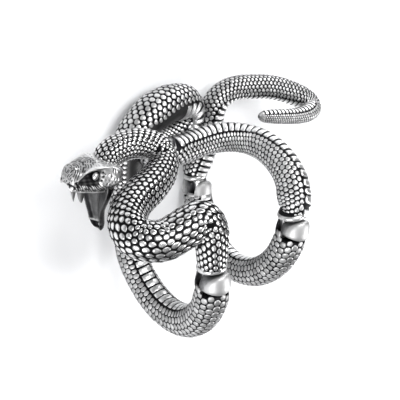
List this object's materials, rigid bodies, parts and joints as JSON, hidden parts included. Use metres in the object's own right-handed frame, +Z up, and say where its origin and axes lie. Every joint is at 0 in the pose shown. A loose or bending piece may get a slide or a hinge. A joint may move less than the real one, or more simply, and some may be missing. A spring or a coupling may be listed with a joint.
{
  "type": "full-finger snake ring",
  "caption": "Full-finger ring shaped as one coiled snake, with lower loops that hinge under the finger so that it bends.",
  "frame": {"origin": "middle of the ring's outline on the surface that its far side lies on", "axes": "+X along the finger from the head towards the tail, +Y towards the back of the finger, +Z up, towards the ring's near side"},
  "size_m": [0.0536, 0.0366, 0.0281],
  "materials": {
    "antique_silver": "cast silver, polished on the raised scales and blackened between them",
    "pin_silver": "plain silver wire, polished"
  },
  "bodies": {
    "casting": {"snake": "antique_silver"},
    "front_loop": {"front_shank": "antique_silver", "front_near_pin": "pin_silver", "front_far_pin": "pin_silver"},
    "rear_loop": {"rear_shank": "antique_silver", "rear_near_pin": "pin_silver", "rear_far_pin": "pin_silver"}
  },
  "joints": [
    {"name": "front_loop_swing", "type": "hinge", "parent": "casting", "child": "front_loop", "pos_m": [-0.0116, -0.00544, 0.01405], "axis": [0, 0, 1], "range_deg": [-25, 25]},
    {"name": "rear_loop_swing", "type": "hinge", "parent": "casting", "child": "rear_loop", "pos_m": [0.0046, -0.00284, 0.01405], "axis": [0, 0, 1], "range_deg": [-15, 30]}
  ]
}
